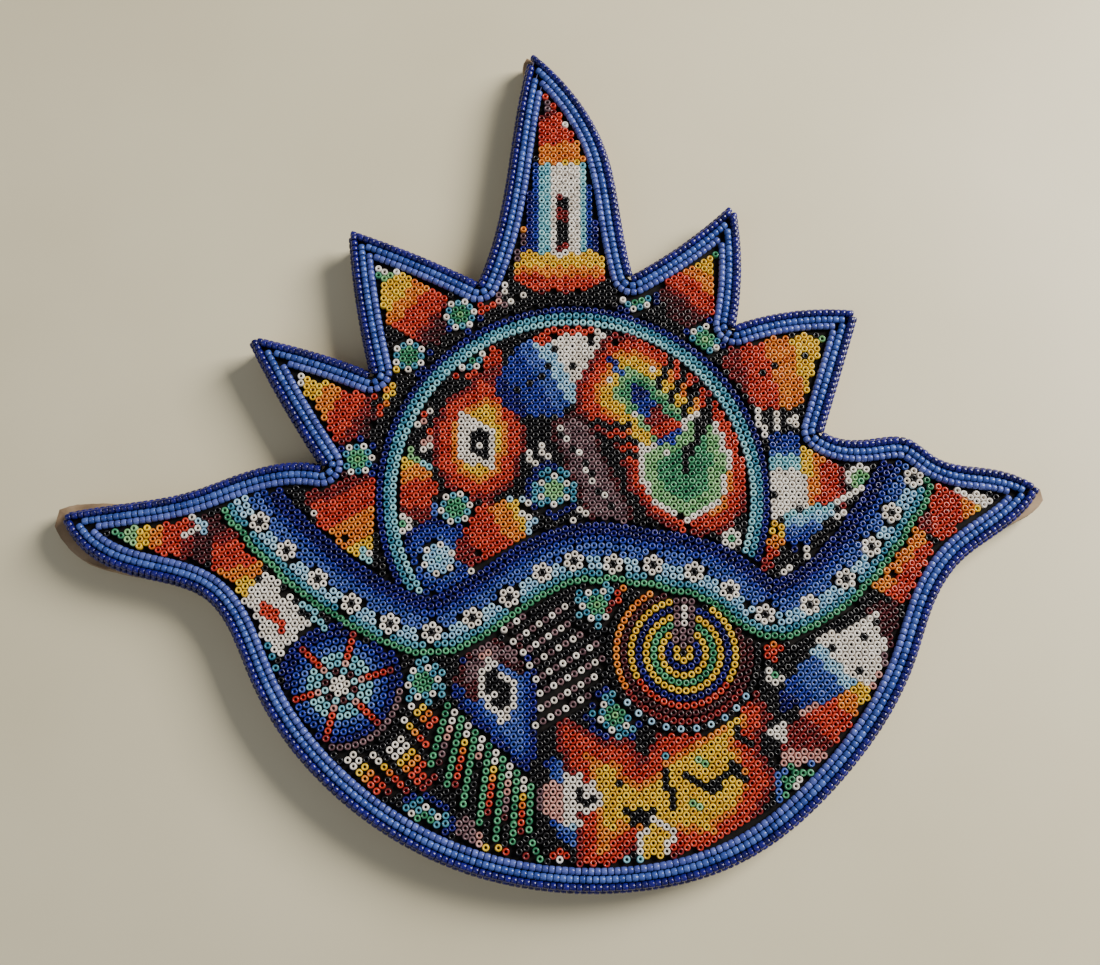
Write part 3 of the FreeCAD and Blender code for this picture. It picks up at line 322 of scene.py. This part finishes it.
def wax():
    """Beeswax darkened almost to black, dull and a little lumpy."""
    material, nodes, links, shader = new_material("beeswax")
    grain = noise(nodes, links, scale=500)
    near_blacks = [(0.35, (0.003, 0.003, 0.003)), (0.7, (0.009, 0.007, 0.006))]
    colour = ramp(nodes, links, grain.outputs["Fac"], near_blacks)
    links.new(colour.outputs["Color"], shader.inputs["Base Color"])
    shader.inputs["Roughness"].default_value = 0.85
    shader.inputs["Specular IOR Level"].default_value = 0.15
    bump(nodes, links, grain.outputs["Fac"], shader, strength=0.5, depth=0.3 * MM)
    return material


def thread_material():
    """Dark blue sewing thread."""
    material, nodes, links, shader = new_material("thread")
    grain = noise(nodes, links, scale=1500)
    blues = [(0.3, (0.04, 0.04, 0.12)), (0.7, (0.1, 0.1, 0.25))]
    colour = ramp(nodes, links, grain.outputs["Fac"], blues)
    links.new(colour.outputs["Color"], shader.inputs["Base Color"])
    shader.inputs["Roughness"].default_value = 0.7
    return material


# darkest and lightest shade of each glass
GLASS = {
    "black": ((0.003, 0.003, 0.004), (0.01, 0.009, 0.01)),
    "navy": ((0.004, 0.003, 0.075), (0.012, 0.009, 0.18)),
    "royal": ((0.009, 0.016, 0.17), (0.022, 0.042, 0.33)),
    "blue": ((0.026, 0.058, 0.28), (0.07, 0.13, 0.45)),
    "periwinkle": ((0.048, 0.07, 0.31), (0.105, 0.145, 0.48)),
    "steel": ((0.03, 0.16, 0.25), (0.09, 0.32, 0.42)),
    "turquoise": ((0.12, 0.4, 0.5), (0.3, 0.62, 0.66)),
    "sky": ((0.2, 0.42, 0.62), (0.42, 0.66, 0.8)),
    "green": ((0.02, 0.15, 0.07), (0.08, 0.34, 0.16)),
    "light_green": ((0.12, 0.34, 0.12), (0.3, 0.55, 0.24)),
    "white": ((0.72, 0.65, 0.56), (0.95, 0.89, 0.8)),
    "yellow": ((0.66, 0.36, 0.01), (0.88, 0.57, 0.03)),
    "orange": ((0.6, 0.13, 0.01), (0.82, 0.27, 0.03)),
    "red": ((0.38, 0.018, 0.01), (0.62, 0.052, 0.025)),
    "dark_red": ((0.12, 0.01, 0.01), (0.26, 0.02, 0.02)),
    "maroon": ((0.035, 0.008, 0.01), (0.09, 0.015, 0.018)),
    "pink": ((0.48, 0.21, 0.18), (0.68, 0.36, 0.3)),
    "mauve": ((0.09, 0.045, 0.055), (0.2, 0.115, 0.125)),
}
GLASS_MATERIALS = {name: glass("glass_" + name, *shades) for name, shades in GLASS.items()}


# ---------------------------------------------------------------------------------------
# board, wax and thread
# ---------------------------------------------------------------------------------------

def outline_of(obj):
    """Points round the lower edge of a slab node, in order, found from the faces of its wall."""
    low = min(v.co.z for v in obj.data.vertices)
    wall = set()
    for face in obj.data.polygons:
        corners = [obj.data.vertices[i].co for i in face.vertices]
        if max(p.z for p in corners) - low < SAME_HEIGHT:
            continue
        lows = [(round(p.x, POINT_DECIMALS), round(p.y, POINT_DECIMALS))
                for p in corners if abs(p.z - low) < SAME_HEIGHT]
        if len(set(lows)) == 2:
            wall.add(frozenset(lows))
    beside = {}
    for pair in wall:
        a, b = tuple(pair)
        beside.setdefault(a, []).append(b)
        beside.setdefault(b, []).append(a)
    first = next(iter(beside))
    path = [first]
    before = None
    while True:
        onward = [p for p in beside[path[-1]] if p != before]
        if not onward or onward[0] == first:
            break
        before = path[-1]
        path.append(onward[0])
    return path


def even_loop(path, step):
    """Points an even step apart round a closed path."""
    loop = np.array(path + path[:1])
    lengths = np.concatenate(([0], np.cumsum(np.hypot(*np.diff(loop, axis=0).T))))
    count = int(lengths[-1] / step)
    along = np.linspace(0, lengths[-1], count, endpoint=False)
    return np.stack([np.interp(along, lengths, loop[:, k]) for k in (0, 1)], axis=1)


def outward(loop):
    """Unit vectors pointing out of a closed loop."""
    ahead = np.roll(loop, -1, axis=0) - np.roll(loop, 1, axis=0)
    normal = np.stack([ahead[:, 1], -ahead[:, 0]], axis=1)
    normal /= np.linalg.norm(normal, axis=1)[:, None]
    area = np.sum(loop[:, 0] * np.roll(loop[:, 1], -1) - np.roll(loop[:, 0], -1) * loop[:, 1])
    return normal * math.copysign(1, area)


def bulge(loop, swells):
    """Extra shift of each point of a loop. A swell is (middle, reach, outward amount, pull), and
    fades away from its middle over its reach."""
    normal = outward(loop)
    extra = np.zeros_like(loop)
    for middle, reach, amount, pull in swells:
        away = np.linalg.norm(loop - middle, axis=1)
        weight = np.exp(-(away / reach) ** 2)[:, None]
        extra += weight * (normal * amount + np.array(pull))
    return extra


def slab_mesh(name, loop, layers, roughness, extra=0.0):
    """A slab with a wall in layers; each layer is (height, outward shift, share of the bulge)."""
    count = len(loop)
    normal = outward(loop)
    draws = RNG.normal(0, 1, count + RIPPLE_POINTS - 1)
    ripple = np.convolve(draws, np.ones(RIPPLE_POINTS), "valid") / math.sqrt(RIPPLE_POINTS)
    spots = []
    faces = []
    for height, shift, share in layers:
        wear = ripple * roughness + RNG.normal(0, roughness * GRIT_SHARE, count)
        ring = loop + normal * (shift + wear)[:, None] + share * extra
        spots += [(x, y, height) for x, y in ring]
    for k in range(len(layers) - 1):
        for i in range(count):
            j = (i + 1) % count
            faces.append((k * count + i, k * count + j, (k + 1) * count + j, (k + 1) * count + i))
    faces.append(tuple(reversed(range(count))))
    faces.append(tuple(range((len(layers) - 1) * count, len(layers) * count)))
    mesh = bpy.data.meshes.new(name)
    mesh.from_pydata(spots, [], faces)
    mesh.update()
    obj = bpy.data.objects.new(name, mesh)
    bpy.context.scene.collection.objects.link(obj)
    return obj


def build_board():
    """The sawn board, which is wider than its beads round both horns and at the top tip."""
    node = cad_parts["wood_board"]
    low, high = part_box("wood_board")
    thick = high.z - low.z
    loop = even_loop(outline_of(node), LOOP_STEP)
    left_tip = loop[loop[:, 0].argmin()]
    right_tip = loop[loop[:, 0].argmax()]
    top_tip = loop[loop[:, 1].argmax()]
    under_left_tip = loop[(loop[:, 0] + 0.9 * loop[:, 1]).argmin()]
    no_pull = (0, 0)
    swells = [
        (left_tip, 36 * MM, 1.1 * MM, no_pull),
        (left_tip, 4 * MM, 0, (-1.6 * MM, 0.3 * MM)),
        (top_tip, 4.5 * MM, 0.8 * MM, (-1.8 * MM, 1.4 * MM)),
        (right_tip, 7 * MM, 0.8 * MM, (1.6 * MM, -1.2 * MM)),
        (right_tip, 18 * MM, 1.4 * MM, no_pull),
        (under_left_tip, 10 * MM, 3.0 * MM, no_pull),
    ]
    layers = [(low.z + level * thick, shift, share) for level, shift, share in BOARD_WALL]
    board = slab_mesh("wood_board_body", loop, layers, BOARD_WEAR, bulge(loop, swells))
    board.data.materials.append(raw_wood())
    dress(board, "wood_board")


def build_wax():
    """The wax skin on the face of the board."""
    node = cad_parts["beeswax_layer"]
    low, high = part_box("beeswax_layer")
    thick = high.z - low.z
    loop = even_loop(outline_of(node), LOOP_STEP)
    layers = [(low.z + level * thick, shift, share) for level, shift, share in WAX_WALL]
    skin = slab_mesh("beeswax_skin", loop, layers, WAX_WEAR)
    skin.data.materials.append(wax())
    dress(skin, "beeswax_layer")


def build_threads(strings):
    """The thread of each string, drawn through its beads in the order they were found."""
    curve = bpy.data.curves.new("rim_thread_lines", "CURVE")
    curve.dimensions = "3D"
    curve.bevel_depth = THREAD_RADIUS
    curve.bevel_resolution = 1
    for beads in strings:
        line = curve.splines.new("POLY")
        line.points.add(len(beads) - 1)
        for point, (middle, _) in zip(line.points, beads):
            point.co = (*middle, 1)
        first_middle, _ = beads[0]
        last_middle, _ = beads[-1]
        line.use_cyclic_u = (first_middle - last_middle).length < CLOSING_GAP
    obj = bpy.data.objects.new("rim_thread_lines", curve)
    bpy.context.scene.collection.objects.link(obj)
    curve.materials.append(thread_material())
    dress(obj, "rim_threads")


def dress(obj, node):
    """Hides the CAD node that a finished piece stands in for, and ties the piece to the part's one
    body.
    """
    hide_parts(node)
    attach(obj, "root")


def glass_of(node):
    """The colour word at the end of a bead node's name."""
    return max((colour for colour in GLASS if node.endswith("_" + colour + "_beads")), key=len)


def build_all_beads():
    """Every bead of the part. Returns the beads of each string round the rim, for its thread."""
    strings = []
    for node in sorted(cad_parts):
        if not node.endswith("_beads"):
            continue
        beads = find_beads(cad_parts[node])
        if node.startswith("rim_"):
            strings.append(beads)
            obj = build_beads(node + "_glass", beads, STRUNG_TILT, STRUNG_WOBBLE)
        else:
            obj = build_beads(node + "_glass", beads, STANDING_TILT, STANDING_WOBBLE)
        colour = glass_of(node)
        obj.data.materials.append(GLASS_MATERIALS[colour])
        dress(obj, node)
    return strings


# ---------------------------------------------------------------------------------------
# floor, light and camera
# ---------------------------------------------------------------------------------------

def build_floor():
    """A wide pale painted floor, which the plaque lies on."""
    mesh = bpy.data.meshes.new("floor")
    corners = [(FLOOR_HALF * x, FLOOR_HALF * y, 0) for x, y in ((-1, -1), (1, -1), (1, 1), (-1, 1))]
    mesh.from_pydata(corners, [], [(0, 1, 2, 3)])
    floor = bpy.data.objects.new("floor", mesh)
    bpy.context.scene.collection.objects.link(floor)
    material, nodes, links, shader = new_material("floor_paint")
    grain = noise(nodes, links, scale=9, detail=4)
    creams = [(0.3, (0.62, 0.555, 0.37)), (0.7, (0.7, 0.635, 0.44))]
    colour = ramp(nodes, links, grain.outputs["Fac"], creams)
    links.new(colour.outputs["Color"], shader.inputs["Base Color"])
    shader.inputs["Roughness"].default_value = 0.45
    mesh.materials.append(material)


def area_light(name, place, size, power, colour):
    """A square lamp that faces the aim point."""
    lamp = bpy.data.lights.new(name, "AREA")
    lamp.size = size
    lamp.energy = power
    lamp.color = colour
    obj = bpy.data.objects.new(name, lamp)
    obj.location = place
    obj.rotation_mode = "QUATERNION"
    obj.rotation_quaternion = (AIM - Vector(place)).to_track_quat("-Z", "Y")
    bpy.context.scene.collection.objects.link(obj)


def build_light():
    """Warm light from a window on the right, a faint cool lamp opposite and a dim sky."""
    world = bpy.data.worlds.new("studio")
    world.use_nodes = True
    sky = world.node_tree.nodes["Background"]
    sky.inputs["Color"].default_value = SKY_COLOUR
    sky.inputs["Strength"].default_value = SKY_STRENGTH
    bpy.context.scene.world = world
    area_light("window", place=(0.7, 0.38, 0.56), size=0.45, power=20.5, colour=(1.0, 0.96, 0.9))
    area_light("room", place=(-0.7, -0.5, 0.9), size=0.9, power=3, colour=(0.9, 0.94, 1.0))


def build_camera():
    """A camera close above the plaque, leaning back over its lower edge."""
    data = bpy.data.cameras.new("camera")
    camera = bpy.data.objects.new("camera", data)
    back = Vector((0, -math.sin(CAMERA_TILT), math.cos(CAMERA_TILT)))
    camera.location = AIM + back * CAMERA_DISTANCE
    camera.rotation_mode = "QUATERNION"
    camera.rotation_quaternion = (-back).to_track_quat("-Z", "Y")
    data.lens = data.sensor_width * CAMERA_DISTANCE / CAMERA_SPAN
    data.clip_start = 0.01
    data.clip_end = 10
    bpy.context.scene.collection.objects.link(camera)
    bpy.context.scene.camera = camera


build_board()
build_wax()
build_threads(build_all_beads())
build_floor()
build_light()
build_camera()
